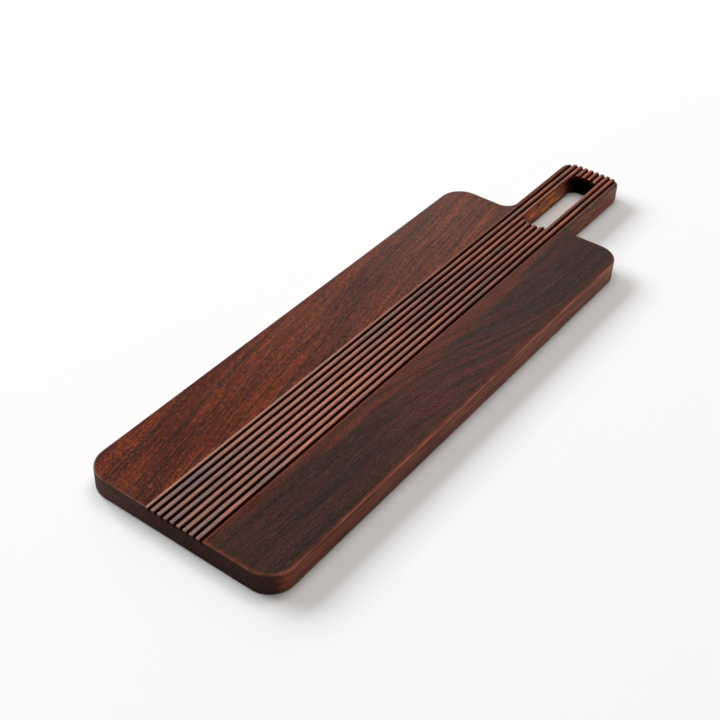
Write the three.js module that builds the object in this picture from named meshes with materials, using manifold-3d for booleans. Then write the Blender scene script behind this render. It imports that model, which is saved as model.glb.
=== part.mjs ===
// Tapas board: a long wooden serving board with a slotted handle and a fluted band down the middle.
// Three staves are glued edge to edge into one panel, which is then cut to its outline, rounded over,
// slotted for the fingers and fluted from end to end. The glue lines lie under the two outer flutes.
// Millimetres, +Z up. The origin is the middle of the underside, and +Y points to the handle.

import * as THREE from 'three';
import { mergeVertices } from 'three/addons/utils/BufferGeometryUtils.js';
import Module from 'manifold-3d';

// Driving dimensions: the board
const BLADE_LENGTH = 408;
const BLADE_WIDTH = 150;
const BLADE_CORNER_RADIUS = 18;
const HANDLE_LENGTH = 92;
const HANDLE_MARGIN = 3.7; // plain strip between the outer flute and the side of the handle
const HANDLE_CORNER_RADIUS = 9;
const SHOULDER_RADIUS = 10; // hollow corner where the handle grows out of the blade
const CENTRE_LINE = 1; // how far right of the blade's middle the handle, its slot and the flutes lie
const THICKNESS = 16;
const EDGE_ROUND = 1.2; // round-over on every edge of the top and the underside, the slot's too

// Driving dimensions: the fluted band
const FLUTE_COUNT = 9;
const FLUTE_PITCH = 5;
const FLUTE_WIDTH = 1.8;
const FLUTE_DEPTH = 2.4;
const BEAD_ROUND = 1.5; // round-over on the beads and on the board's own edges along the band

// Driving dimensions: the finger slot
const SLOT_BEADS = 4; // beads that stop at the slot, so its long walls line up with two flutes
const SLOT_LENGTH = 84;
const SLOT_CORNER_RADIUS = 7;
const SLOT_END_BAR = 15.5; // wood between the slot and the end of the handle

// Driving dimensions: the glue
const GLUE_THICKNESS = 0.2;

// Colours and finish
const REDDISH_BROWN = 0x5c3428;
const WARM_BROWN = 0x6e4536;
const DARK_CHOCOLATE = 0x46322d;
const GLUE_BROWN = 0x3a2018;
const OILED_ROUGHNESS = 0.5;
const GLUE_ROUGHNESS = 0.4;

// How finely round stretches are cut into flats
const OUTLINE_CURVE_SEGMENTS = 8;
const FLUTE_CURVE_SEGMENTS = 3;
const EDGE_SEGMENTS = 3;

// How far a cutting shape runs past the board
const OVERRUN = 5;

// Places that follow from the driving dimensions
const boardLength = BLADE_LENGTH + HANDLE_LENGTH;
const nearEnd = -boardLength / 2;
const handleEnd = boardLength / 2;
const shoulder = nearEnd + BLADE_LENGTH;
const bladeHalf = BLADE_WIDTH / 2;
const outerFlute = FLUTE_PITCH * (FLUTE_COUNT - 1) / 2;
const handleHalf = outerFlute + FLUTE_WIDTH / 2 + HANDLE_MARGIN;
const slotHalf = (SLOT_BEADS * FLUTE_PITCH + FLUTE_WIDTH) / 2;
const slotFarEnd = handleEnd - SLOT_END_BAR;
const slotNearEnd = slotFarEnd - SLOT_LENGTH;

const QUARTER = Math.PI / 2;

const wasm = await Module();
wasm.setup();

// A closed geometry as a solid that can be cut
function solidOf(geometry) {
  const bare = geometry.clone();
  bare.deleteAttribute('normal');
  bare.deleteAttribute('uv');
  const merged = mergeVertices(bare);
  const vertProperties = merged.getAttribute('position').array;
  const triVerts = new Uint32Array(merged.index.array);
  return new wasm.Manifold(new wasm.Mesh({ numProp: 3, vertProperties, triVerts }));
}

// A cut solid as a geometry again
function geometryOf(solid) {
  const mesh = solid.getMesh();
  const geometry = new THREE.BufferGeometry();
  geometry.setAttribute('position', new THREE.BufferAttribute(new Float32Array(mesh.vertProperties), 3));
  geometry.setIndex(new THREE.BufferAttribute(new Uint32Array(mesh.triVerts), 1));
  geometry.computeVertexNormals();
  return geometry;
}

// The board seen from above: blade, hollow shoulders and handle, drawn counter-clockwise
function boardOutline() {
  const cornerX = bladeHalf - BLADE_CORNER_RADIUS;
  const cornerNearY = nearEnd + BLADE_CORNER_RADIUS;
  const cornerFarY = shoulder - BLADE_CORNER_RADIUS;
  const hollowReach = handleHalf + SHOULDER_RADIUS;
  const hollowY = shoulder + SHOULDER_RADIUS;
  const endReach = handleHalf - HANDLE_CORNER_RADIUS;
  const endY = handleEnd - HANDLE_CORNER_RADIUS;

  const outline = new THREE.Shape();
  outline.absarc(-cornerX, cornerNearY, BLADE_CORNER_RADIUS, 2 * QUARTER, 3 * QUARTER, false);
  outline.absarc(cornerX, cornerNearY, BLADE_CORNER_RADIUS, 3 * QUARTER, 4 * QUARTER, false);
  outline.absarc(cornerX, cornerFarY, BLADE_CORNER_RADIUS, 0, QUARTER, false);
  outline.absarc(CENTRE_LINE + hollowReach, hollowY, SHOULDER_RADIUS, 3 * QUARTER, 2 * QUARTER, true);
  outline.absarc(CENTRE_LINE + endReach, endY, HANDLE_CORNER_RADIUS, 0, QUARTER, false);
  outline.absarc(CENTRE_LINE - endReach, endY, HANDLE_CORNER_RADIUS, QUARTER, 2 * QUARTER, false);
  outline.absarc(CENTRE_LINE - hollowReach, hollowY, SHOULDER_RADIUS, 0, -QUARTER, true);
  outline.absarc(-cornerX, cornerFarY, BLADE_CORNER_RADIUS, QUARTER, 2 * QUARTER, false);
  outline.closePath();
  return outline;
}

// The finger slot seen from above
function slotOutline() {
  const radius = Math.min(SLOT_CORNER_RADIUS, slotHalf);
  const leftX = CENTRE_LINE - slotHalf + radius;
  const rightX = CENTRE_LINE + slotHalf - radius;
  const nearY = slotNearEnd + radius;
  const farY = slotFarEnd - radius;

  const outline = new THREE.Path();
  outline.absarc(leftX, nearY, radius, 2 * QUARTER, 3 * QUARTER, false);
  outline.absarc(rightX, nearY, radius, 3 * QUARTER, 4 * QUARTER, false);
  outline.absarc(rightX, farY, radius, 0, QUARTER, false);
  outline.absarc(leftX, farY, radius, QUARTER, 2 * QUARTER, false);
  outline.closePath();
  return outline;
}

// The glued panel, cut to its outline, slotted and rounded over
function roundedPanel() {
  const outline = boardOutline();
  outline.holes.push(slotOutline());
  const geometry = new THREE.ExtrudeGeometry(outline, {
    depth: THICKNESS - 2 * EDGE_ROUND,
    curveSegments: OUTLINE_CURVE_SEGMENTS,
    bevelThickness: EDGE_ROUND,
    bevelSize: EDGE_ROUND,
    bevelOffset: -EDGE_ROUND,
    bevelSegments: EDGE_SEGMENTS,
  });
  geometry.translate(0, 0, EDGE_ROUND);
  return solidOf(geometry);
}

// What the cutter takes away at one flute, seen along the board: a round-bottomed groove whose two
// lips are rolled over into the beads beside it
function fluteSection() {
  const half = FLUTE_WIDTH / 2;
  const floorCentreZ = THICKNESS - FLUTE_DEPTH + half;
  const lip = Math.min(BEAD_ROUND, FLUTE_DEPTH - half);
  const lipX = half + lip;
  const lipZ = THICKNESS - lip;
  const aboveZ = THICKNESS + OVERRUN;

  const section = new THREE.Shape();
  section.absarc(0, floorCentreZ, half, 2 * QUARTER, 4 * QUARTER, false);
  section.absarc(lipX, lipZ, lip, 2 * QUARTER, QUARTER, true);
  section.lineTo(lipX, aboveZ);
  section.lineTo(-lipX, aboveZ);
  section.absarc(-lipX, lipZ, lip, QUARTER, 0, true);
  section.closePath();
  return section;
}

// One flute's cut, from end to end of the board at a place across it
function fluteCut(acrossX) {
  const geometry = new THREE.ExtrudeGeometry(fluteSection(), {
    depth: boardLength + 2 * OVERRUN,
    curveSegments: FLUTE_CURVE_SEGMENTS,
    bevelEnabled: false,
  });
  geometry.rotateX(QUARTER);
  geometry.translate(acrossX, handleEnd + OVERRUN, 0);
  return solidOf(geometry);
}

function flutedPanel() {
  let panel = roundedPanel();
  for (let flute = 0; flute < FLUTE_COUNT; flute += 1) {
    panel = panel.subtract(fluteCut(CENTRE_LINE + flute * FLUTE_PITCH - outerFlute));
  }
  return panel;
}

// The part of the panel between two planes across the board: one stave, or the glue between two
function lane(panel, fromX, toX) {
  const plan = new THREE.Shape();
  plan.moveTo(fromX, nearEnd - OVERRUN);
  plan.lineTo(toX, nearEnd - OVERRUN);
  plan.lineTo(toX, handleEnd + OVERRUN);
  plan.lineTo(fromX, handleEnd + OVERRUN);
  plan.closePath();
  const geometry = new THREE.ExtrudeGeometry(plan, {
    depth: THICKNESS + 2 * OVERRUN,
    bevelEnabled: false,
  });
  geometry.translate(0, 0, -OVERRUN);
  return geometryOf(panel.intersect(solidOf(geometry)));
}

function piece(name, geometry, colour, roughness) {
  const material = new THREE.MeshStandardMaterial({ color: colour, roughness, metalness: 0 });
  const mesh = new THREE.Mesh(geometry, material);
  mesh.name = name;
  return mesh;
}

const outside = bladeHalf + OVERRUN;
const leftGlue = CENTRE_LINE - outerFlute;
const rightGlue = CENTRE_LINE + outerFlute;
const film = GLUE_THICKNESS / 2;
const panel = flutedPanel();

const board = new THREE.Group();
board.name = 'tapas_board';
board.add(
  piece('left_side_stave', lane(panel, -outside, leftGlue - film), REDDISH_BROWN, OILED_ROUGHNESS),
  piece('left_glue_line', lane(panel, leftGlue - film, leftGlue + film), GLUE_BROWN, GLUE_ROUGHNESS),
  piece('fluted_centre_stave', lane(panel, leftGlue + film, rightGlue - film), WARM_BROWN, OILED_ROUGHNESS),
  piece('right_glue_line', lane(panel, rightGlue - film, rightGlue + film), GLUE_BROWN, GLUE_ROUGHNESS),
  piece('right_side_stave', lane(panel, rightGlue + film, outside), DARK_CHOCOLATE, OILED_ROUGHNESS),
);

export default board;
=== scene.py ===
# Looks of the tapas board: three staves of dark oiled wood, modelled finely over the CAD frame.
# Metres, +Z up, in the frame of the CAD part: the origin is the middle of the underside, +Y to the handle.

import math

import bpy
import numpy as np
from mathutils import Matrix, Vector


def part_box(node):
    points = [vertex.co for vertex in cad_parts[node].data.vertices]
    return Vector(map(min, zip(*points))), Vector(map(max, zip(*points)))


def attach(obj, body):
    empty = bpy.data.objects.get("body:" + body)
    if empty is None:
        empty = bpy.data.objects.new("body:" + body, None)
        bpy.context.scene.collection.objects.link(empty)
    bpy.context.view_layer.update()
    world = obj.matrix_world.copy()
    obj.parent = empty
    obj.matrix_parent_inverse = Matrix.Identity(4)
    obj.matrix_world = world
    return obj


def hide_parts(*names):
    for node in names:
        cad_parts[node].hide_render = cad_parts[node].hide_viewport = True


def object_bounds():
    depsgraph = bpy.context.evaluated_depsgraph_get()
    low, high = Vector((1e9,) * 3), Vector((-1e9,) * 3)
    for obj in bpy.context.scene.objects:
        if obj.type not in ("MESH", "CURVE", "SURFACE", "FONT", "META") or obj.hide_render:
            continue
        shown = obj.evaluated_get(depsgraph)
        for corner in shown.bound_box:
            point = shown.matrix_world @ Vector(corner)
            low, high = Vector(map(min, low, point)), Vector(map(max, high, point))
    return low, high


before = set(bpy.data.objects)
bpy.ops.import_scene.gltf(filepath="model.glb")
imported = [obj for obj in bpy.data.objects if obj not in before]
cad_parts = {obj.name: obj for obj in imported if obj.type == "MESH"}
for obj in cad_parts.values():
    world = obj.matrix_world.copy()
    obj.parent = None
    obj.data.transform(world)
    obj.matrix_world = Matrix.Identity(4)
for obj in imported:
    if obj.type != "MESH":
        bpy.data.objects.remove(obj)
cad_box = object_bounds()

MM = 0.001

# Sizes of the board that its boxes in the frame don't give
BLADE_LENGTH = 408 * MM
BLADE_CORNER_RADIUS = 18 * MM
HANDLE_MARGIN = 3.7 * MM  # plain strip between the outer flute and the side of the handle
HANDLE_CORNER_RADIUS = 9 * MM
SHOULDER_RADIUS = 10 * MM  # hollow corner where the handle grows out of the blade
CENTRE_LINE = 1 * MM  # how far right of the blade's middle the handle, its slot and the flutes lie
EDGE_ROUND = 1.2 * MM
TIP_ROUND = 3.5 * MM  # what the round-over grows towards at the handle's two end corners, worn softer
TIP_REACH = 12 * MM  # how far from those corners the wear goes

# The fluted band
FLUTE_COUNT = 9
FLUTE_PITCH = 5 * MM
FLUTE_WIDTH = 1.8 * MM
FLUTE_DEPTH = 2.4 * MM
FLOOR_GAP = 0.02 * MM  # strip between a flute's round floor and its lips, so that no column lies on both
BEAD_ROUND = 1.5 * MM
CROWN_POWER = 2.7  # 2 rolls the beads over in a true quarter-circle, more leaves their crowns flatter

# The finger slot
SLOT_BEADS = 4  # beads that stop at the slot, so its long walls line up with two flutes
SLOT_LENGTH = 84 * MM
SLOT_CORNER_RADIUS = 7 * MM
SLOT_END_BAR = 15.5 * MM  # wood between the slot and the end of the handle

# How finely round stretches are cut
EDGE_STEPS = 8
CORNER_STEPS = 14
HOLLOW_STEPS = 9
FLOOR_STEPS = 4
LIP_STEPS = 7
SHARP_ANGLE = math.radians(40)  # faces that meet at more than this are shaded apart

# How many rows and columns the plain stretches have
BLADE_ROWS = 24
SLOT_ROWS = 8
BAR_ROWS = 3
WING_ROWS = 22
MARGIN_ROWS = 8
WING_COLUMNS = 6
MARGIN_START = 6 * MM  # from the end of the hollow shoulder to the first row of the handle's margin
COLLAR_DEPTH = 3.2 * MM  # where the walls turn plain, below every flute
COLUMN_GAP = 0.005 * MM  # columns that lie nearer than this are one
SLIVER = 0.001 * MM  # slack in comparing two places

# Places that follow from the sizes and the frame
near_end = cad_box[0].y
handle_end = cad_box[1].y
blade_half = cad_box[1].x
top = cad_box[1].z
shoulder = near_end + BLADE_LENGTH
flute_half = FLUTE_WIDTH / 2
floor_half = flute_half - FLOOR_GAP
outer_flute = FLUTE_PITCH * (FLUTE_COUNT - 1) / 2
outer_lip = outer_flute + flute_half + BEAD_ROUND
handle_half = outer_flute + flute_half + HANDLE_MARGIN
slot_half = SLOT_BEADS * FLUTE_PITCH / 2 + flute_half
slot_far = handle_end - SLOT_END_BAR
slot_near = slot_far - SLOT_LENGTH
slot_middle = (slot_near + slot_far) / 2
slot_corner_x = slot_half - SLOT_CORNER_RADIUS
slot_corner_near = slot_near + SLOT_CORNER_RADIUS
slot_corner_far = slot_far - SLOT_CORNER_RADIUS
blade_corner_x = blade_half - BLADE_CORNER_RADIUS
blade_corner_near = near_end + BLADE_CORNER_RADIUS
blade_corner_far = shoulder - BLADE_CORNER_RADIUS
hollow_reach = handle_half + SHOULDER_RADIUS
hollow_y = shoulder + SHOULDER_RADIUS
handle_corner_reach = handle_half - HANDLE_CORNER_RADIUS
handle_corner_y = handle_end - HANDLE_CORNER_RADIUS


# The board's form

def arc_reach(radius, offset):
    """How far a round corner reaches at an offset from its centre."""
    return np.sqrt(np.maximum(radius ** 2 - np.asarray(offset) ** 2, 0))


def inside_outline(x, y):
    """Distance in from the board's outline."""
    aside = np.abs(x - CENTRE_LINE)
    x = np.abs(x)
    past_corner = x - blade_corner_x
    distance = np.minimum(blade_half - x, y - near_end)
    near_corner = (past_corner > 0) & (y < blade_corner_near)
    near_round = BLADE_CORNER_RADIUS - np.hypot(past_corner, y - blade_corner_near)
    distance = np.where(near_corner, near_round, distance)
    far_corner = (past_corner > 0) & (y > blade_corner_far)
    far_round = BLADE_CORNER_RADIUS - np.hypot(past_corner, y - blade_corner_far)
    distance = np.where(far_corner, far_round, distance)
    wing = (aside >= hollow_reach) & ~far_corner
    distance = np.where(wing, np.minimum(distance, shoulder - y), distance)
    by_hollow = (aside < hollow_reach) & (y < hollow_y)
    hollow = np.hypot(hollow_reach - aside, hollow_y - y) - SHOULDER_RADIUS
    distance = np.where(by_hollow, np.minimum(distance, hollow), distance)
    on_handle = (aside < hollow_reach) & (y >= hollow_y)
    handle = np.minimum(handle_half - aside, handle_end - y)
    handle_corner = (aside > handle_corner_reach) & (y > handle_corner_y)
    handle_round = HANDLE_CORNER_RADIUS - np.hypot(aside - handle_corner_reach, y - handle_corner_y)
    handle = np.where(handle_corner, handle_round, handle)
    return np.where(on_handle, handle, distance)


def outside_slot(x, y):
    """Distance out from the finger slot."""
    past_x = np.maximum(np.abs(x - CENTRE_LINE) - slot_corner_x, 0)
    past_y = np.maximum(np.abs(y - slot_middle) - (slot_middle - slot_corner_near), 0)
    return np.hypot(past_x, past_y) - SLOT_CORNER_RADIUS


def nearness(distance, reach):
    """1 at no distance, falling evenly to 0 at a reach."""
    return np.clip(1 - distance / reach, 0, 1)


def edge_radius(x, y):
    """Round-over of the board's outline, which grows towards the handle's two end corners."""
    from_tip = np.hypot(handle_half - np.abs(x - CENTRE_LINE), handle_end - y)
    share = nearness(from_tip, TIP_REACH)
    eased = share ** 2 * (3 - 2 * share)
    return EDGE_ROUND + (TIP_ROUND - EDGE_ROUND) * eased


def edge_drop(distance, radius):
    """How far a rounded edge lies below the flat at a distance in from it."""
    left = np.clip(radius - distance, 0, radius)
    return radius - np.sqrt(radius ** 2 - left ** 2)


def flute_drop(x):
    """How far the fluted band lies below the flat, at a place across the board."""
    aside = x - CENTRE_LINE
    number = np.clip(np.round(aside / FLUTE_PITCH), -(FLUTE_COUNT // 2), FLUTE_COUNT // 2)
    offset = np.abs(aside - number * FLUTE_PITCH)
    floor = FLUTE_DEPTH - floor_half + arc_reach(floor_half, offset)
    past_crown = np.clip(flute_half + BEAD_ROUND - offset, 0, BEAD_ROUND) / BEAD_ROUND
    lip = BEAD_ROUND * (1 - (1 - past_crown ** CROWN_POWER) ** (1 / CROWN_POWER))
    return np.where(offset <= floor_half, floor, lip)


MELT_POWER = 6  # the higher, the tighter the corner between two drops


def melt(*drops):
    """Drops that meet, with a small soft corner between them and nothing added where one is alone."""
    scaled = sum((drop / MM) ** MELT_POWER for drop in drops)
    return MM * scaled ** (1 / MELT_POWER)


# Places of the mesh's columns and rows

def millimetres(*sizes):
    """Sizes or places given in millimetres, in metres."""
    return [size * MM for size in sizes]


def quarter_steps(radius, count):
    """Distances in from an edge that cut its quarter-round into even flats."""
    return radius * (1 - np.cos(np.linspace(0, math.pi / 2, count + 1)))


EDGE_GLOW = 9 * MM  # how far in from its outline the board may be rubbed to another tone
GLOW_ROWS = millimetres(1.9, 3, 4.6, 6.6)  # rows between the round-over and the end of the glow
EDGE_ROWS = np.concatenate([quarter_steps(EDGE_ROUND, EDGE_STEPS), GLOW_ROWS, [EDGE_GLOW]])
END_ROWS = EDGE_ROWS[:-2]  # where little room is left between two edges


def flute_columns():
    """Places aside from the centre line that follow every flute, lip and bead."""
    floor = floor_half * np.sin(np.linspace(0, math.pi / 2, FLOOR_STEPS + 1))
    lip = flute_half + quarter_steps(BEAD_ROUND, LIP_STEPS)
    half = np.concatenate([floor, lip, [FLUTE_PITCH / 2]])
    offsets = np.concatenate([-half, half])
    numbers = np.arange(FLUTE_COUNT) - FLUTE_COUNT // 2
    return (numbers[:, None] * FLUTE_PITCH + offsets).ravel()


def tidy_columns(columns, low, high):
    """Columns in order between two planes, both planes among them, with no two alike."""
    inner = columns[(columns > low + COLUMN_GAP) & (columns < high - COLUMN_GAP)]
    ordered = np.sort(np.concatenate([inner, [low, high]]))
    keep = np.append(True, np.diff(ordered) > COLUMN_GAP)
    return ordered[keep]


def stretch_rows(start, end, first, last, middle_count):
    """Rows between two edges for every column, close together beside both."""
    from_start = start[:, None] + first[None, :]
    to_end = end[:, None] - last[None, ::-1]
    share = np.linspace(0, 1, middle_count + 2)[1:-1]
    middle = from_start[:, -1:] + (to_end[:, :1] - from_start[:, -1:]) * share[None, :]
    return np.concatenate([from_start, middle, to_end], axis=1)


# Meshes of the staves

def grid_quads(present):
    """Four-sided faces between the points that a grid has, which are numbered in its order."""
    number = np.full(present.shape, -1)
    number[present] = np.arange(present.sum())
    corners = (number[:-1, :-1], number[1:, :-1], number[1:, 1:], number[:-1, 1:])
    quads = np.stack(corners, axis=-1).reshape(-1, 4)
    return quads[(quads >= 0).all(axis=1)]


def open_edges(quads):
    """Edges that only one face has, each as its start and its end."""
    starts = quads.ravel().tolist()
    ends = np.roll(quads, -1, axis=1).ravel().tolist()
    shared = set(zip(ends, starts))
    return [edge for edge in zip(starts, ends) if edge not in shared]


def closed_mesh(name, top_points, bottom_points, quads):
    """A top and a bottom sheet, and walls between them with a collar of points below the flutes.
    Gives the mesh, and the points of a sheet that lie on its walls."""
    count = len(top_points)
    edges = open_edges(quads)
    rim = sorted({point for edge in edges for point in edge})
    collar = {point: 2 * count + order for order, point in enumerate(rim)}
    collar_points = top_points[rim]
    collar_points[:, 2] = top - COLLAR_DEPTH
    walls = []
    for start, end in edges:
        walls.append((end, start, collar[start], collar[end]))
        walls.append((collar[end], collar[start], start + count, end + count))
    points = np.concatenate([top_points, bottom_points, collar_points])
    bottom_quads = quads[:, ::-1] + count
    faces = quads.tolist() + bottom_quads.tolist() + walls
    mesh = bpy.data.meshes.new(name)
    mesh.from_pydata(points.tolist(), [], faces)
    mesh.validate()
    mesh.polygons.foreach_set("use_smooth", [True] * len(mesh.polygons))
    mesh.set_sharp_from_angle(angle=SHARP_ANGLE)
    return mesh, rim


def store(mesh, name, on_top, on_bottom, on_walls):
    """Keeps one number per point on the mesh, for its material."""
    values = np.concatenate([on_top, on_bottom, on_walls])
    attribute = mesh.attributes.new(name, "FLOAT", "POINT")
    attribute.data.foreach_set("value", values.astype(np.float32))


def mark_edges_and_flutes(mesh, rim, x, inside, by_slot, flute):
    """Marks how near each point lies to an edge, to the outline, to a flute's floor and to the slot."""
    edge_share = nearness(np.minimum(inside, by_slot), EDGE_ROUND)
    glow_share = nearness(inside, EDGE_GLOW)
    slot_share = nearness(by_slot, EDGE_ROUND)
    beside_slot = np.abs(x - CENTRE_LINE) > slot_half - SLIVER
    open_share = np.where(beside_slot, np.clip(by_slot / BEAD_ROUND, 0, 1), 1)
    hollow_share = np.clip(flute / FLUTE_DEPTH, 0, 1) * open_share
    no_share = np.zeros(len(x))
    bare_walls = np.zeros(len(rim))
    store(mesh, "rim", edge_share, edge_share, bare_walls)
    store(mesh, "glow", glow_share, no_share, bare_walls)
    store(mesh, "hollow", hollow_share, no_share, bare_walls)
    store(mesh, "slot", slot_share, slot_share, slot_share[rim])


def lane_piece(name, columns, rows):
    """One stave as a closed piece on a grid of columns and rows, with no rows where the board is open."""
    present = ~np.isnan(rows)
    x = np.repeat(columns[:, None], rows.shape[1], axis=1)[present]
    y = rows[present]
    inside = np.maximum(inside_outline(x, y), 0)
    by_slot = np.maximum(outside_slot(x, y), 0)
    edge = edge_drop(inside, edge_radius(x, y))
    slot_edge = edge_drop(by_slot, EDGE_ROUND)
    flute = flute_drop(x)
    top_points = np.stack([x, y, top - melt(edge, slot_edge, flute)], axis=-1)
    bottom_points = np.stack([x, y, melt(edge, slot_edge)], axis=-1)
    mesh, rim = closed_mesh(name, top_points, bottom_points, grid_quads(present))
    mark_edges_and_flutes(mesh, rim, x, inside, by_slot, flute)
    piece = bpy.data.objects.new(name, mesh)
    bpy.context.scene.collection.objects.link(piece)
    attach(piece, "root")
    return piece


def centre_stave():
    """The middle stave: beads and flutes from end to end, with the slot through it."""
    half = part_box("fluted_centre_stave")[1].x - CENTRE_LINE
    columns = tidy_columns(flute_columns(), -half, half)
    aside = np.abs(columns)
    beside_slot = aside >= slot_half - SLIVER
    slot_reach = arc_reach(SLOT_CORNER_RADIUS, np.maximum(aside - slot_corner_x, 0))
    slot_reach = np.where(beside_slot, 0, slot_reach)
    near = np.full(len(columns), near_end)
    end_reach = arc_reach(HANDLE_CORNER_RADIUS, np.maximum(aside - handle_corner_reach, 0))
    far = handle_corner_y + end_reach
    blade = stretch_rows(near, slot_corner_near - slot_reach, EDGE_ROWS, END_ROWS, BLADE_ROWS)
    walls = np.linspace(slot_corner_near, slot_corner_far, SLOT_ROWS + 2)[1:-1]
    walls = np.where(beside_slot[:, None], walls[None, :], np.nan)
    bar = stretch_rows(slot_corner_far + slot_reach, far, END_ROWS, END_ROWS, BAR_ROWS)
    rows = np.concatenate([blade, walls, bar], axis=1)
    piece = lane_piece("centre_stave_wood", CENTRE_LINE + columns, rows)
    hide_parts("fluted_centre_stave")
    return piece


def side_columns(low, centre):
    """Places across a side stave, from its glue face out to the side of the blade."""
    flutes = flute_columns()
    lip = centre + flutes[flutes < outer_lip + SLIVER]
    handle_side = centre + handle_half - END_ROWS
    hollow = centre + handle_half + quarter_steps(SHOULDER_RADIUS, HOLLOW_STEPS)
    plain = np.linspace(centre + hollow_reach, blade_corner_x, WING_COLUMNS)
    turn = np.linspace(0, math.pi / 2, CORNER_STEPS + 1)
    corner = blade_corner_x + BLADE_CORNER_RADIUS * np.sin(turn)
    side = blade_half - EDGE_ROWS
    columns = np.concatenate([lip, handle_side, hollow, plain, corner, side])
    return tidy_columns(columns, low, blade_half)


LEFT = -1
RIGHT = 1


def side_stave(name, node, hand):
    """A side stave: a wing of the blade and the thin margin along the handle. It is laid out on the right
    and mirrored for the left."""
    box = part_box(node)
    low = min(abs(box[0].x), abs(box[1].x))
    centre = hand * CENTRE_LINE
    x = side_columns(low, centre)
    aside = x - centre
    past_corner = np.maximum(x - blade_corner_x, 0)
    near = blade_corner_near - arc_reach(BLADE_CORNER_RADIUS, past_corner)
    corner_far = blade_corner_far + arc_reach(BLADE_CORNER_RADIUS, past_corner)
    hollow_far = hollow_y - arc_reach(SHOULDER_RADIUS, np.minimum(aside - hollow_reach, 0))
    on_handle = aside <= handle_half + SLIVER
    far = np.where(aside > hollow_reach, corner_far, np.where(on_handle, hollow_y, hollow_far))
    wing = stretch_rows(near, far, EDGE_ROWS, EDGE_ROWS, WING_ROWS)
    past_handle = np.maximum(aside - handle_corner_reach, 0)
    handle_far = handle_corner_y + arc_reach(HANDLE_CORNER_RADIUS, past_handle)
    margin = stretch_rows(far, handle_far, np.array([MARGIN_START]), END_ROWS, MARGIN_ROWS)
    margin = np.where(on_handle[:, None], margin, np.nan)
    rows = np.concatenate([wing, margin], axis=1)
    if hand == LEFT:
        x = -x[::-1]
        rows = rows[::-1]
    piece = lane_piece(name, x, rows)
    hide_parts(node)
    return piece


# Materials

def linear(red, green, blue):
    """A colour given as on a screen, 0 to 255, in the linear values that shaders take, by the sRGB curve."""
    values = []
    for part in (red, green, blue):
        share = part / 255
        values.append(share / 12.92 if share <= 0.04045 else ((share + 0.055) / 1.055) ** 2.4)
    return (*values, 1.0)


SEED_STEP = (0.137, 0.251, 0.089)  # metres that one seed shifts a noise along X, Y and Z
BUMP_STRENGTH = 0.6


class Shader:
    """Adds nodes to one material. An input is a plain value or another node's output."""

    def __init__(self, name):
        self.material = bpy.data.materials.new(name)
        self.material.use_nodes = True
        self.tree = self.material.node_tree
        self.principled = self.tree.nodes["Principled BSDF"]
        self.place = self.add("ShaderNodeTexCoord", {}).outputs["Object"]
        self.x, self.y, self.z = self.split(self.place)

    def add(self, kind, inputs, **settings):
        node = self.tree.nodes.new(kind)
        for key, value in settings.items():
            setattr(node, key, value)
        for key, value in inputs.items():
            self.feed(node.inputs[key], value)
        return node

    def feed(self, socket, value):
        if isinstance(value, bpy.types.NodeSocket):
            self.tree.links.new(value, socket)
        else:
            socket.default_value = value

    def normal(self):
        return self.add("ShaderNodeNewGeometry", {}).outputs["Normal"]

    def split(self, vector):
        parts = self.add("ShaderNodeSeparateXYZ", {"Vector": vector}).outputs
        return parts["X"], parts["Y"], parts["Z"]

    def join(self, x, y, z):
        return self.add("ShaderNodeCombineXYZ", {"X": x, "Y": y, "Z": z}).outputs[0]

    def stored(self, name):
        return self.add("ShaderNodeAttribute", {}, attribute_name=name).outputs["Fac"]

    def noise(self, place, size, seed, detail=2.0, roughness=0.5, tilt=0.0):
        """Noise whose blots have a size in metres across, along and through the wood."""
        shift = [seed * step for step in SEED_STEP]
        inputs = {"Vector": place, "Location": shift, "Rotation": (0.0, tilt, 0.0), "Scale": size}
        mapped = self.add("ShaderNodeMapping", inputs, vector_type="TEXTURE").outputs["Vector"]
        inputs = {"Vector": mapped, "Scale": 1.0, "Detail": detail, "Roughness": roughness}
        return self.add("ShaderNodeTexNoise", inputs).outputs["Fac"]

    def math(self, operation, first, second=0.0, third=0.0):
        return self.add("ShaderNodeMath", {0: first, 1: second, 2: third}, operation=operation).outputs[0]

    def plus(self, first, second):
        return self.math("ADD", first, second)

    def minus(self, first, second):
        return self.math("SUBTRACT", first, second)

    def times(self, first, second):
        return self.math("MULTIPLY", first, second)

    def times_plus(self, first, second, third):
        return self.math("MULTIPLY_ADD", first, second, third)

    def span(self, value, low, high, to_low=0.0, to_high=1.0):
        """A value carried smoothly from one range to another."""
        inputs = {"Value": value, "From Min": low, "From Max": high, "To Min": to_low, "To Max": to_high}
        return self.add("ShaderNodeMapRange", inputs, interpolation_type="SMOOTHSTEP").outputs["Result"]

    def grey(self, value):
        """One number as an even colour."""
        return self.add("ShaderNodeCombineColor", {0: value, 1: value, 2: value}).outputs[0]

    def mix(self, share, first, second, blend="MIX"):
        """Two colours mixed or blended. The numbers are the node's sockets for colours."""
        inputs = {0: share, 6: first, 7: second}
        settings = {"data_type": "RGBA", "blend_type": blend}
        return self.add("ShaderNodeMix", inputs, **settings).outputs[2]

    def tint(self, colour, tone, share=1.0):
        """A colour multiplied by a tone, wholly or by a share."""
        return self.mix(share, colour, tone, "MULTIPLY")

    def finish(self, colour, roughness, height, relief):
        inputs = {"Strength": BUMP_STRENGTH, "Distance": relief, "Height": height}
        bump = self.add("ShaderNodeBump", inputs)
        self.feed(self.principled.inputs["Base Color"], colour)
        self.feed(self.principled.inputs["Roughness"], roughness)
        self.feed(self.principled.inputs["Normal"], bump.outputs["Normal"])
        return self.material


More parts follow.
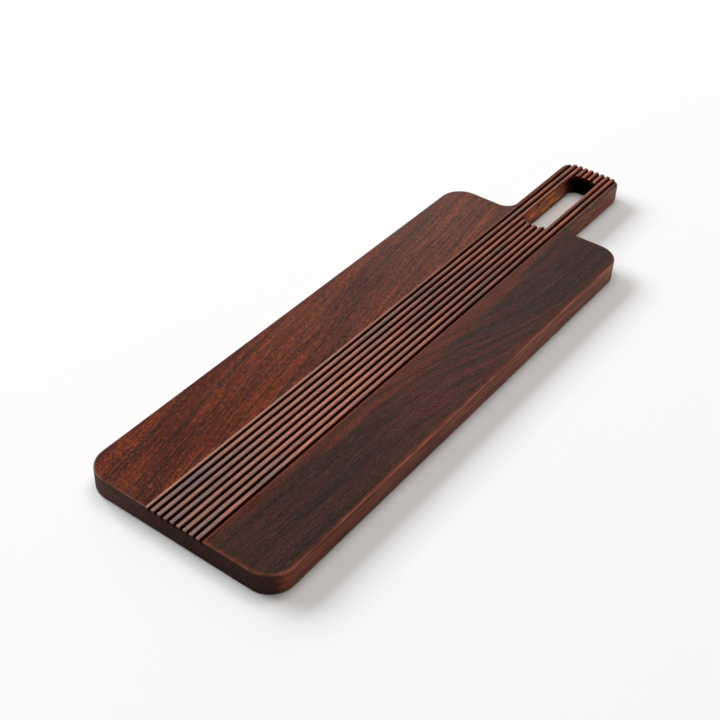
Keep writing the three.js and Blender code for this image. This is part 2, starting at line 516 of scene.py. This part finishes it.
# Sizes of the noises that are the same in all three staves, across, along and through the wood
BLUSH_SIZE = millimetres(5, 70, 9)
RING_WARP_SIZE = millimetres(26, 170, 26)
RING_GAP_SIZE = millimetres(5, 70, 8)
FLAME_SIZE = millimetres(6, 22, 3)
END_SPECK_SIZE = millimetres(0.8, 2, 0.8)
RUB_AND_HIGHLIGHT_SIZE = millimetres(9, 26, 9)

# What part of a noise's range is spread out and, where it isn't 0 to 1, what it is carried to
FULL_SWING = (0.2, 0.8)
BAND_SPAN = (0.36, 0.64)
BLUSH_SPAN = (0.35, 0.6, 0.25, 1.0)
RING_STRENGTH = (0.1, 0.7, 0.1, 1.0)
RING_GAP_SPAN = (0.34, 0.54, 0.25, 1.0)
STREAK_SPAN = (0.32, 0.68)
SPECK_SPAN = (0.32, 0.68)
THREAD_SPAN = (0.56, 0.68)
PORE_SPAN = (0.56, 0.66)
SIDE_SPAN = (0.34, 0.66)
FLAME_SPAN = (0.47, 0.6)
END_SPECK_SPAN = (0.3, 0.7, 0.75, 1.25)
RUB_AND_HIGHLIGHT_SPAN = (0.3, 0.62, 0.3, 1.0)
BLEED_SPAN = (0.35, 0.65, 0.5, 1.0)
GLOSS_SPAN = (0.25, 0.75)

# How far a face has to turn one way to count, in part and in full, and what it then counts
SIDE_TURN = (0.6, 0.95)
END_TURN = (0.35, 0.85)
LEFT_TURN = (-0.5, 0.5)
NEAR_TURN = (-0.6, -0.1)
FAR_TURN = (0.15, 0.6, 1.0, 0.1)
UNDER_TURN = (-0.9, -0.4)
WALL_TURN = (0.3, 0.7, 1.0, 0.0)
RIM_TURN = (0.1, 0.5)
LIP_TURN = (0.2, 0.6)
SHINE_TURN = (0.1, 0.7)

# Where along, across or up the board a look comes in or goes out, and what it is carried to
handle_start = (shoulder, shoulder + 14 * MM)
handle_side_start = (shoulder - 4 * MM, shoulder + 8 * MM)
bar_start = (slot_far - 8 * MM, slot_far + 4 * MM)
strip_start = (-200 * MM, -130 * MM, 0.35, 1.0)
strip_end = (shoulder - 8 * MM, shoulder + 12 * MM, 1.0, 0.0)
edge_wear_and_highlight_end = (shoulder - 3 * MM, shoulder + 3 * MM, 1.0, 0.1)
lip_edge = (outer_lip - 0.2 * MM, outer_lip + 0.6 * MM, 1.0, 0.0)
lip_stretch = (-130 * MM, shoulder)
# painted light on the end grain, stronger towards the left
end_grain_painted_light = (-70 * MM, 0.0)
# painted shade on the slot's walls: where along the slot and how high up it comes in
slot_far_painted_shade = (slot_far - 24 * MM, slot_far - 6 * MM, 0.0, 0.95)
slot_low_painted_shade = (0.5 * MM, 5 * MM, 0.9, 0.0)
STRIP_BLUR = 2.2 * MM  # half of the width over which the red strip fades

# Ranges of the shares stored on the mesh and, where it isn't 0 to 1, what they are carried to
OFF_FLUTES = (0.0, 0.05, 1.0, 0.0)
SLOT_WALL = (0.3, 0.9)
RIM_SPAN = (0.1, 0.75)
SLOT_RIM_SHINE = (0.0, 0.6, 1.0, 0.2)
FLUTE_SHINE = (0.0, 1.0, 1.0, 0.03)

WARM_CORE = 0.1  # part of a warm patch, by area, that is warm in full
RING_SHIFT = 0.37  # rings that one seed shifts the pattern
RING_START = (0.0, 0.1)  # part of a year over which its dark line comes in
FLUTE_SHADE_SHARE = 0.94  # how much of the wood's own colour the painted shade of a flute's floor covers
PORE_DEPTH = -0.8  # against the height of the streaks
GLOSS_RANGE = 0.12  # how much rougher the roughest streaks are than the smoothest
WOOD_RELIEF = 0.1 * MM
SIDE_SHINE = 0.035
END_GRAIN_PAINTED_LIGHT = linear(90, 69, 64)
END_GRAIN = linear(64, 46, 42)
END_GRAIN_SEED = 13


def grain_course(shader, look):
    """Coordinates that run with the grain, which drifts and sways across the stave along its length."""
    start, end, drift = look["drift"]
    drifted = shader.span(shader.y, start, end, 0.0, drift)
    sway = shader.noise(shader.place, look["sway_size"], look["seed"], detail=1.0)
    swayed = shader.span(sway, *FULL_SWING, -look["sway"], look["sway"])
    across = shader.minus(shader.minus(shader.x, drifted), swayed)
    return shader.join(across, shader.y, shader.z)


def wood_tone(shader, grain, look):
    """The slow changes of colour across and along the stave."""
    band = shader.noise(grain, look["band_size"], look["seed"] + 1, roughness=0.55, tilt=look["tilt"])
    calm = shader.span(shader.y, *look["calm_along"], 1.0, look["calm"])
    share = shader.times(shader.span(band, *BAND_SPAN), calm)
    colour = shader.mix(share, look["base"], look["bright"])
    along = shader.span(shader.y, *look["tone_along"])
    return shader.tint(colour, shader.mix(along, look["tone_near"], look["tone_far"]))


def warm_patch(shader, look, colour):
    """A redder cloud in the wood, with a place and a reach across and along the board."""
    middle_x, middle_y = look["warm_place"]
    reach_x, reach_y = look["warm_reach"]
    off_x = shader.math("DIVIDE", shader.minus(shader.x, middle_x), reach_x)
    off_y = shader.math("DIVIDE", shader.minus(shader.y, middle_y), reach_y)
    far = shader.plus(shader.times(off_x, off_x), shader.times(off_y, off_y))
    share = shader.span(far, WARM_CORE, 1.0, look["warm_share"], 0.0)
    return shader.mix(share, colour, look["warm"])


def blush(shader, grain, look, colour):
    """A redder stretch half-way along, which ends on a slant that the grain follows."""
    slanted = shader.times_plus(shader.x, -look["blush_slant"], shader.y)
    stop = shader.span(slanted, *look["blush_stop"], 1.0, 0.0)
    start = shader.span(shader.y, *look["blush_start"])
    cloud = shader.noise(grain, BLUSH_SIZE, look["seed"] + 10)
    share = shader.times(shader.times(start, stop), shader.span(cloud, *BLUSH_SPAN))
    return shader.mix(shader.times(share, look["blush_share"]), colour, look["blush"])


def red_strip(shader, look, colour):
    """A strip of redder young wood along the glue line, which runs out towards both ends."""
    widening = shader.span(shader.y, *look["strip_near"])
    narrowing = shader.span(shader.y, *look["strip_far"])
    past = shader.minus(shader.x, shader.plus(widening, narrowing))
    share = shader.span(past, -STRIP_BLUR, STRIP_BLUR, look["strip_share"], 0.0)
    share = shader.times(share, shader.span(shader.y, *strip_start))
    share = shader.times(share, shader.span(shader.y, *strip_end))
    return shader.mix(share, colour, look["strip"])


def year_rings(shader, grain, look, colour):
    """Dark lines that end each year's growth, sharp on one side and soft on the other."""
    seed = look["seed"]
    across, _, deep = shader.split(grain)
    warp = shader.noise(grain, RING_WARP_SIZE, seed + 3, detail=1.0)
    warp = shader.span(warp, *FULL_SWING, -look["ring_warp"], look["ring_warp"])
    turned = shader.times_plus(deep, look["ring_lean"], across)
    place = shader.times_plus(turned, 1 / look["ring_pitch"], warp)
    place = shader.plus(place, RING_SHIFT * seed)
    year = shader.math("FLOOR", place)
    strength = shader.add("ShaderNodeTexWhiteNoise", {"W": year}, noise_dimensions="1D").outputs["Value"]
    strength = shader.span(strength, *RING_STRENGTH)
    inside = shader.math("FRACT", place)
    line = shader.times(shader.span(inside, *RING_START), shader.span(inside, *look["ring_fade"], 1.0, 0.0))
    broken = shader.noise(grain, RING_GAP_SIZE, seed + 4, detail=1.0, roughness=0.6, tilt=look["tilt"])
    broken = shader.span(broken, *RING_GAP_SPAN)
    share = shader.times(shader.times(line, strength), shader.times(broken, look["ring_share"]))
    return shader.mix(share, colour, look["ring"])


def wood_fibres(shader, grain, look, colour):
    """Fine streaks, specks, pale threads and dark open pores; gives the streaks and pores back too."""
    seed = look["seed"]
    tilt = look["tilt"]
    streak = shader.noise(grain, look["streak_size"], seed + 6, roughness=0.55, tilt=tilt)
    colour = shader.tint(colour, shader.grey(shader.span(streak, *STREAK_SPAN, *look["streak_range"])))
    speck = shader.noise(grain, look["speck_size"], seed + 5, detail=1.0, tilt=tilt)
    speck = shader.span(speck, *SPECK_SPAN)
    colour = shader.tint(colour, shader.mix(speck, look["speck_dark"], look["speck_light"]))
    thread = shader.noise(grain, look["thread_size"], seed + 9, detail=1.0, tilt=tilt)
    thread = shader.times(shader.span(thread, *THREAD_SPAN), look["thread_share"])
    colour = shader.mix(thread, colour, look["thread"])
    pore = shader.noise(grain, look["pore_size"], seed + 7, detail=1.0, roughness=0.6, tilt=tilt)
    pore = shader.span(pore, *PORE_SPAN)
    colour = shader.mix(shader.times(pore, look["pore_share"]), colour, look["pore"])
    return colour, streak, pore


def handle_tone(shader, look, colour):
    """The tone that the wood takes along the handle, and in the bar past its slot; on the right stave a
    paler, greyer painted sheen.
    """
    colour = shader.tint(colour, look["tone_handle"], shader.span(shader.y, *handle_start))
    return shader.tint(colour, look["tone_end"], shader.span(shader.y, *bar_start))


def plain_underside(shader, look, colour, normal):
    """The underside, which is darker than the top where the stave has a share for it, as the top's colour
    there holds a painted sheen.
    """
    share = shader.span(normal[2], *UNDER_TURN, look["under_share"], 0.0)
    return shader.mix(share, colour, look["hollow"])


def facing_sideways(shader, normal):
    """How fully a face turns to the left or to the right."""
    return shader.span(shader.math("ABSOLUTE", normal[0]), *SIDE_TURN)


def long_sides_with_painted_light(shader, look, colour, normal):
    """The stave's long sides and the slot's long walls, with paler flames along the handle. Their colour is
    partly paler side grain and partly painted light, more of it towards the far end; where the look gives a
    share below 1, sides that face left are darkened by it as painted shade.
    """
    seed = look["seed"]
    side = shader.times(facing_sideways(shader, normal), shader.span(shader.stored("hollow"), *OFF_FLUTES))
    plain = shader.mix(shader.span(shader.y, near_end, shoulder), look["side"], look["side_far"])
    flame = shader.noise(shader.place, FLAME_SIZE, seed + 14, roughness=0.55)
    handle = shader.mix(shader.span(flame, *FLAME_SPAN), look["handle_side"], look["flame"])
    side_colour = shader.mix(shader.span(shader.y, *handle_side_start), plain, handle)
    streak = shader.noise(shader.place, look["side_size"], seed + 12, roughness=0.6)
    streak = shader.span(streak, *SIDE_SPAN, *look["side_range"])
    shade = shader.span(normal[0], *LEFT_TURN, look["left_facing_painted_shade"], 1.0)
    side_colour = shader.tint(side_colour, shader.grey(shader.times(streak, shade)))
    return shader.mix(shader.times(side, look["side_share"]), colour, side_colour)


def end_grain(shader, colour, normal):
    """The dark end grain, with painted light that makes it paler towards the left."""
    share = shader.span(shader.math("ABSOLUTE", normal[1]), *END_TURN)
    end_colour = shader.mix(shader.span(shader.x, *end_grain_painted_light), END_GRAIN_PAINTED_LIGHT, END_GRAIN)
    speck = shader.noise(shader.place, END_SPECK_SIZE, END_GRAIN_SEED, roughness=0.6)
    end_colour = shader.tint(end_colour, shader.grey(shader.span(speck, *END_SPECK_SPAN)))
    return shader.mix(share, colour, end_colour)


def slot_painted_shade(shader, look, colour, normal):
    """Painted shade on the slot's walls, which go dark at its far end and low down."""
    wall = shader.span(shader.stored("slot"), *SLOT_WALL)
    wall = shader.times(wall, shader.span(normal[2], *WALL_TURN))
    far = shader.span(shader.y, *slot_far_painted_shade)
    low = shader.span(shader.z, *slot_low_painted_shade)
    return shader.mix(shader.times(wall, shader.math("MAXIMUM", far, low)), colour, look["deep"])


def edge_wear_and_highlight(shader, look, colour, streak, normal):
    """Wood rubbed to another tone beside the edges, and paler wood right on them, which is partly wear and
    partly a painted highlight on the round-overs.
    """
    # rubbed breaks up both the wear and the painted highlight
    rubbed = shader.noise(shader.place, RUB_AND_HIGHLIGHT_SIZE, look["seed"] + 8)
    rubbed = shader.span(rubbed, *RUB_AND_HIGHLIGHT_SPAN)
    rubbed = shader.times(rubbed, shader.span(shader.y, *edge_wear_and_highlight_end))
    rubbed = shader.times(rubbed, shader.span(normal[1], *NEAR_TURN, look["near_edge"], 1.0))
    rubbed = shader.times(rubbed, shader.span(normal[1], *FAR_TURN))
    bleed = shader.span(streak, *BLEED_SPAN)
    glow = shader.span(shader.stored("glow"), look["glow_from"], 1.0)
    glow = shader.times(shader.times(glow, bleed), shader.times(rubbed, look["glow_share"]))
    colour = shader.mix(glow, colour, look["glow"])
    rim = shader.times(shader.span(shader.stored("rim"), *RIM_SPAN), shader.span(normal[2], *RIM_TURN))
    rim = shader.times(rim, shader.span(shader.y, near_end, shoulder, *look["rim_share"]))
    return shader.mix(shader.times(rim, rubbed), colour, look["rim"])


def lip_highlight_and_wear(shader, look, normal):
    """How much the rounded lip beside the outermost flute takes its paler colour, which is partly rubbed
    wood and partly a painted highlight.
    """
    aside = shader.math("ABSOLUTE", shader.minus(shader.x, CENTRE_LINE))
    share = shader.times(shader.span(aside, *lip_edge), shader.span(normal[2], *LIP_TURN))
    return shader.times(share, shader.span(shader.y, *lip_stretch, *look["lip_share"]))


def flute_painted_shade(shader, look, colour, hollow):
    """Painted shade in the flutes and down the beads' flanks, a little paler towards the handle."""
    floor = shader.mix(shader.span(shader.y, 0.0, shoulder), look["hollow"], look["hollow_far"])
    return shader.mix(shader.times(hollow, FLUTE_SHADE_SHARE), colour, floor)


def oiled_shine(shader, look, lip, hollow, normal):
    """How strongly the oiled wood mirrors, which is little on its walls and hardly at all in the flutes."""
    shine = shader.span(shader.y, *look["shine_along"], *look["shine"])
    shine = shader.times(shine, shader.span(shader.y, *handle_start, 1.0, look["handle_shine"]))
    shine = shader.times_plus(lip, look["lip_shine"], shine)
    shine = shader.times(shine, shader.span(normal[2], *SHINE_TURN))
    shine = shader.times(shine, shader.span(hollow, *FLUTE_SHINE))
    shine = shader.times(shine, shader.span(shader.stored("slot"), *SLOT_RIM_SHINE))
    return shader.times_plus(facing_sideways(shader, normal), SIDE_SHINE, shine)


def wood(name, look):
    """Dark oiled wood, solid through the stave, with its end grain, worn edges, and painted light and shade:
    highlights on the edges and lips, light on the sides and end grain, and shade in the flutes and the slot.
    """
    shader = Shader(name)
    grain = grain_course(shader, look)
    colour = wood_tone(shader, grain, look)
    colour = warm_patch(shader, look, colour)
    if "blush" in look:
        colour = blush(shader, grain, look, colour)
    if "strip" in look:
        colour = red_strip(shader, look, colour)
    colour = year_rings(shader, grain, look, colour)
    colour, streak, pore = wood_fibres(shader, grain, look, colour)
    colour = handle_tone(shader, look, colour)

    normal = shader.split(shader.normal())
    colour = plain_underside(shader, look, colour, normal)
    colour = long_sides_with_painted_light(shader, look, colour, normal)
    colour = end_grain(shader, colour, normal)
    colour = slot_painted_shade(shader, look, colour, normal)
    colour = edge_wear_and_highlight(shader, look, colour, streak, normal)
    lip = lip_highlight_and_wear(shader, look, normal)
    colour = shader.mix(lip, colour, look["lip"])
    # where the painted shade of the flutes begins and where it is full, which also dims their shine
    hollow = shader.span(shader.stored("hollow"), *look["hollow_range"])
    colour = flute_painted_shade(shader, look, colour, hollow)

    shine = oiled_shine(shader, look, lip, hollow, normal)
    shader.feed(shader.principled.inputs["Specular IOR Level"], shine)
    roughness = shader.span(streak, *GLOSS_SPAN, look["smooth"], look["smooth"] + GLOSS_RANGE)
    height = shader.times_plus(pore, PORE_DEPTH, streak)
    return shader.finish(colour, roughness, height, WOOD_RELIEF)


# Looks of the three staves. A size is across, along and through the wood, a tone multiplies the colour,
# and a pair for a share or a shine is its value at the near and at the far end of its stretch.
LEFT_LOOK = {
    "seed": 1,
    "tilt": math.radians(20),  # how the fibres lean through the stave
    "drift": millimetres(-650, 250, -114),  # where along the board it starts and ends, and how far it goes
    "sway": 2 * MM,
    "sway_size": millimetres(40, 120, 40),
    "base": linear(76, 34, 22),
    "bright": linear(104, 48, 26),
    "band_size": millimetres(13, 150, 25),
    "calm_along": millimetres(20, 110),
    "calm": 1.0,  # share of the bright bands that is left past that stretch
    "tone_along": millimetres(-170, 170),
    "tone_near": (1.02, 0.84, 0.7, 1.0),
    "tone_far": (1.16, 1.24, 1.28, 1.0),
    "tone_handle": (1.26, 0.65, 0.44, 1.0),
    "tone_end": (1.0, 1.0, 1.0, 1.0),
    "warm": linear(124, 58, 28),
    "warm_place": millimetres(-58, -120),
    "warm_reach": millimetres(15, 90),
    "warm_share": 0.15,
    "ring": linear(46, 29, 25),
    "ring_pitch": 8 * MM,
    "ring_warp": 0.4,
    "ring_lean": 0.35,
    "ring_fade": (0.1, 0.4),
    "ring_share": 0.85,
    "streak_size": millimetres(0.7, 36, 1.6),
    "streak_range": (0.52, 1.48),
    "speck_size": millimetres(0.55, 1.7, 0.9),
    "speck_dark": (0.44, 0.38, 0.34, 1.0),
    "speck_light": (1.57, 1.64, 1.66, 1.0),
    "thread": linear(150, 76, 38),
    "thread_size": millimetres(0.9, 4, 1.2),
    "thread_share": 0.45,
    "pore": linear(26, 13, 10),
    "pore_size": millimetres(0.65, 6, 1.0),
    "pore_share": 0.7,
    # the long sides: partly paler side grain, partly painted light
    "side": linear(104, 56, 42),
    "side_far": linear(112, 64, 50),
    "side_size": millimetres(3, 30, 0.9),
    "side_range": (0.6, 1.45),
    "side_share": 0.7,
    "handle_side": linear(104, 60, 46),
    "flame": linear(126, 68, 42),
    "left_facing_painted_shade": 1.0,  # brightness of the sides that face left, below 1 a painted shade
    "glow": linear(64, 38, 33),
    "glow_from": 0.1,
    "glow_share": 0.5,
    # paler rim on the round-overs: partly wear, partly a painted highlight
    "rim": linear(150, 92, 76),
    "rim_share": (0.7, 0.75),
    "near_edge": 1.0,  # share of the wear and of the painted highlight that the near end's edge has
    # the paler lip beside the outermost flute: partly rubbed wood, partly a painted highlight
    "lip": linear(196, 134, 110),
    "lip_share": (0.78, 0.15),
    "lip_shine": 0.65,
    # near-black painted shade on the slot's walls
    "deep": linear(8, 4, 3),
    # painted shade in the flutes, paler towards the handle
    "hollow": linear(34, 11, 5),
    "hollow_far": linear(64, 26, 11),
    "hollow_range": (0.05, 0.36),
    "under_share": 0.0,
    "smooth": 0.27,
    "shine_along": millimetres(-230, 150),
    "shine": (0.1, 0.25),
    "handle_shine": 0.55,
}

RIGHT_LOOK = dict(
    LEFT_LOOK,
    seed=11,
    tilt=math.radians(-20),
    drift=millimetres(-120, 110, 42),
    base=linear(48, 32, 27),
    bright=linear(67, 38, 30),
    band_size=millimetres(8, 150, 20),
    calm=0.4,
    tone_near=(0.9, 0.86, 0.82, 1.0),
    tone_far=(1.3, 1.15, 1.13, 1.0),
    # a paler, greyer tone on the handle's margin: painted sheen
    tone_handle=(2.7, 2.7, 2.95, 1.0),
    warm=linear(96, 44, 28),
    warm_place=millimetres(24, -170),
    warm_reach=millimetres(6, 90),
    warm_share=0.6,
    blush=linear(88, 42, 33),
    blush_slant=2.5,
    blush_start=millimetres(-160, -60),
    blush_stop=millimetres(-150, -60),
    blush_share=0.7,
    strip=linear(100, 46, 31),
    strip_near=millimetres(-235, -110, 22, 34),  # a stretch along the board, and its edge at both ends
    strip_far=millimetres(40, 165, 0, -8),  # the same, added to it
    strip_share=0.68,
    ring=linear(41, 31, 27),
    ring_pitch=9 * MM,
    ring_fade=(0.25, 0.8),
    ring_share=0.72,
    streak_range=(0.8, 1.24),
    speck_dark=(0.66, 0.63, 0.6, 1.0),
    speck_light=(1.34, 1.37, 1.38, 1.0),
    thread=linear(112, 70, 52),
    thread_size=millimetres(0.65, 6, 1.2),
    thread_share=0.26,
    pore=linear(28, 18, 15),
    pore_share=0.5,
    side=linear(138, 75, 57),
    side_far=linear(164, 101, 81),
    side_range=(0.5, 1.55),
    handle_side=linear(138, 88, 72),
    flame=linear(172, 92, 54),
    glow=linear(146, 56, 28),
    glow_from=0.66,
    glow_share=0.75,
    rim=linear(184, 122, 102),
    rim_share=(0.75, 1.0),
    near_edge=0.28,
    lip=linear(116, 50, 30),
    lip_share=(0.6, 0.05),
    lip_shine=-0.05,
    shine=(0.12, 0.18),
    handle_shine=1.0,
)

CENTRE_LOOK = dict(
    LEFT_LOOK,
    seed=21,
    tilt=math.radians(10),
    drift=millimetres(-300, 300, -6),
    # the pale base, and the greyer tone towards the near end, are partly a painted sheen on the beads
    base=linear(116, 66, 50),
    bright=linear(168, 84, 47),
    band_size=millimetres(4.5, 45, 12),
    tone_along=millimetres(-80, 30),
    tone_near=(0.84, 1.06, 1.26, 1.0),
    tone_far=(0.79, 0.75, 0.73, 1.0),
    tone_handle=(1.02, 1.06, 1.08, 1.0),
    tone_end=(1.22, 1.1, 0.96, 1.0),
    warm=linear(196, 104, 64),
    warm_place=millimetres(3, -105),
    warm_reach=millimetres(32, 110),
    warm_share=0.4,
    ring=linear(84, 54, 45),
    ring_pitch=6 * MM,
    ring_share=0.45,
    streak_range=(0.68, 1.32),
    speck_dark=(0.9, 0.88, 0.86, 1.0),
    speck_light=(1.08, 1.1, 1.12, 1.0),
    thread_share=0.1,
    pore_share=0.25,
    # the slot's long walls: bright orange, partly painted light
    side=linear(170, 104, 62),
    side_far=linear(170, 104, 62),
    side_size=millimetres(6, 16, 3.5),
    side_range=(0.6, 1.42),
    side_share=0.9,
    handle_side=linear(190, 111, 65),
    flame=linear(238, 139, 73),
    # painted shade on the slot's wall that faces left
    left_facing_painted_shade=0.34,
    rim=linear(170, 112, 90),
    lip_share=(0.0, 0.0),  # the lips belong to the side staves
    under_share=0.6,
    smooth=0.28,
    shine=(0.95, 0.68),
    handle_shine=1.0,
)

GLUE_DARK = linear(26, 14, 10)
GLUE_LIGHT = linear(48, 27, 20)
GLUE_CLOUD_SIZE = millimetres(2, 12, 2)
GLUE_GRAIN_SIZE = millimetres(0.6, 3, 0.6)
GLUE_SPAN = (0.3, 0.7)
GLUE_ROUGHNESS = (0.35, 0.55)
GLUE_SHINE = 0.03
GLUE_RELIEF = 0.05 * MM
GLUE_SEED = 31


def glue(name):
    """The cured glue between two staves: dark brown, a little cloudy."""
    shader = Shader(name)
    cloud = shader.noise(shader.place, GLUE_CLOUD_SIZE, GLUE_SEED, detail=3.0)
    colour = shader.mix(shader.span(cloud, *GLUE_SPAN), GLUE_DARK, GLUE_LIGHT)
    grain = shader.noise(shader.place, GLUE_GRAIN_SIZE, GLUE_SEED + 1)
    roughness = shader.span(grain, *GLUE_SPAN, *GLUE_ROUGHNESS)
    shader.principled.inputs["Specular IOR Level"].default_value = GLUE_SHINE
    return shader.finish(colour, roughness, grain, GLUE_RELIEF)


def dress(piece, material):
    """Gives a piece its one material."""
    piece.data.materials.clear()
    piece.data.materials.append(material)


# Floor, light and camera

WHITE = (1.0, 1.0, 1.0, 1.0)
FLOOR_HALF = 6.0
FLOOR_HEIGHT = -0.1 * MM  # just clear of the underside
FLOOR_COLOUR = (0.95, 0.95, 0.95, 1.0)
FLOOR_ROUGHNESS = 0.9
FLOOR_FADE = (0.9, 2.6)  # metres from the board between which the floor runs out into plain white


def pale_floor():
    """A wide pale table top just under the board, which the camera sees run out into white."""
    signs = ((-1, -1), (1, -1), (1, 1), (-1, 1))
    corners = [(x * FLOOR_HALF, y * FLOOR_HALF, FLOOR_HEIGHT) for x, y in signs]
    mesh = bpy.data.meshes.new("floor")
    mesh.from_pydata(corners, [], [(0, 1, 2, 3)])
    mesh.materials.append(floor_paint())
    floor = bpy.data.objects.new("floor", mesh)
    bpy.context.scene.collection.objects.link(floor)


def floor_paint():
    """Matt pale paint, which turns to plain white for the camera far from the board."""
    shader = Shader("floor_paint")
    shader.principled.inputs["Base Color"].default_value = FLOOR_COLOUR
    shader.principled.inputs["Roughness"].default_value = FLOOR_ROUGHNESS
    shader.principled.inputs["Specular IOR Level"].default_value = 0.0
    squares = shader.plus(shader.times(shader.x, shader.x), shader.times(shader.y, shader.y))
    away = shader.math("SQRT", squares)
    seen = shader.add("ShaderNodeLightPath", {}).outputs["Is Camera Ray"]
    share = shader.times(seen, shader.span(away, *FLOOR_FADE))
    white = shader.add("ShaderNodeEmission", {"Color": WHITE, "Strength": 1.0}).outputs["Emission"]
    both = {0: share, 1: shader.principled.outputs["BSDF"], 2: white}
    surface = shader.add("ShaderNodeMixShader", both).outputs["Shader"]
    shader.feed(shader.tree.nodes["Material Output"].inputs["Surface"], surface)
    return shader.material


LAMP_DISTANCE = 9.0
KEY_TINT = (0.98, 1.0, 1.025)
FILL_TINT = (1.0, 0.96, 0.925)  # a little warm, as the photo's shadows are
PLAIN_TINT = (1.0, 1.0, 1.0)
SURROUND_STRENGTH = 0.09


def softbox(name, azimuth, elevation, size, power, tint=PLAIN_TINT):
    """A soft lamp with a height and a width, which faces the board from a direction given in degrees."""
    lamp = bpy.data.lights.new(name, "AREA")
    lamp.shape = "RECTANGLE"
    lamp.size, lamp.size_y = size
    lamp.energy = power
    lamp.color = tint
    around = math.radians(azimuth)
    above = math.radians(elevation)
    level = LAMP_DISTANCE * math.cos(above)
    holder = bpy.data.objects.new(name, lamp)
    holder.location = (level * math.cos(around), level * math.sin(around), LAMP_DISTANCE * math.sin(above))
    holder.rotation_euler = (0, math.pi / 2 - above, around)
    bpy.context.scene.collection.objects.link(holder)


def studio_light():
    """A wide soft lamp on the left, a large one overhead, two smaller ones behind and a pale surround."""
    softbox("left_softbox", azimuth=180, elevation=30, size=(3.6, 6.9), power=815, tint=KEY_TINT)
    softbox("overhead_panel", azimuth=120, elevation=85, size=(7.5, 7.5), power=315, tint=FILL_TINT)
    softbox("back_top_panel", azimuth=97, elevation=58, size=(3.3, 3.3), power=129)
    softbox("back_left_panel", azimuth=133, elevation=18, size=(4.2, 4.2), power=105)
    pale_surround()


def pale_surround():
    """A dim even glow on the board, which the camera itself sees as white."""
    world = bpy.data.worlds.new("surround")
    world.use_nodes = True
    tree = world.node_tree
    glow = tree.nodes["Background"]
    glow.inputs["Color"].default_value = WHITE
    glow.inputs["Strength"].default_value = SURROUND_STRENGTH
    seen = tree.nodes.new("ShaderNodeBackground")
    seen.inputs["Color"].default_value = WHITE
    seen.inputs["Strength"].default_value = 1.0
    choice = tree.nodes.new("ShaderNodeMixShader")
    path = tree.nodes.new("ShaderNodeLightPath")
    tree.links.new(path.outputs["Is Camera Ray"], choice.inputs[0])
    tree.links.new(glow.outputs["Background"], choice.inputs[1])
    tree.links.new(seen.outputs["Background"], choice.inputs[2])
    tree.links.new(choice.outputs["Shader"], tree.nodes["World Output"].inputs["Surface"])
    bpy.context.scene.world = world


CAMERA_PLACE = (0.3761, -0.6068, 0.5634)
CAMERA_TURN = (50.392, -1.893, 36.614)  # degrees about X, Y and Z
CAMERA_SENSOR = 36  # millimetres wide
CAMERA_LENS = 64.666  # millimetres


def photo_camera():
    """The camera, where the photo was taken from."""
    data = bpy.data.cameras.new("camera")
    data.sensor_width = CAMERA_SENSOR
    data.lens = CAMERA_LENS
    camera = bpy.data.objects.new("camera", data)
    camera.location = CAMERA_PLACE
    camera.rotation_euler = [math.radians(angle) for angle in CAMERA_TURN]
    bpy.context.scene.collection.objects.link(camera)
    bpy.context.scene.camera = camera


photo_camera()
pale_floor()
studio_light()

left_piece = side_stave("left_stave_wood", "left_side_stave", LEFT)
dress(left_piece, wood("left_wood", LEFT_LOOK))
centre_piece = centre_stave()
dress(centre_piece, wood("centre_wood", CENTRE_LOOK))
right_piece = side_stave("right_stave_wood", "right_side_stave", RIGHT)
dress(right_piece, wood("right_wood", RIGHT_LOOK))
glue_material = glue("glue")
for node in ("left_glue_line", "right_glue_line"):
    dress(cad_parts[node], glue_material)

bpy.context.scene.view_settings.view_transform = "Standard"
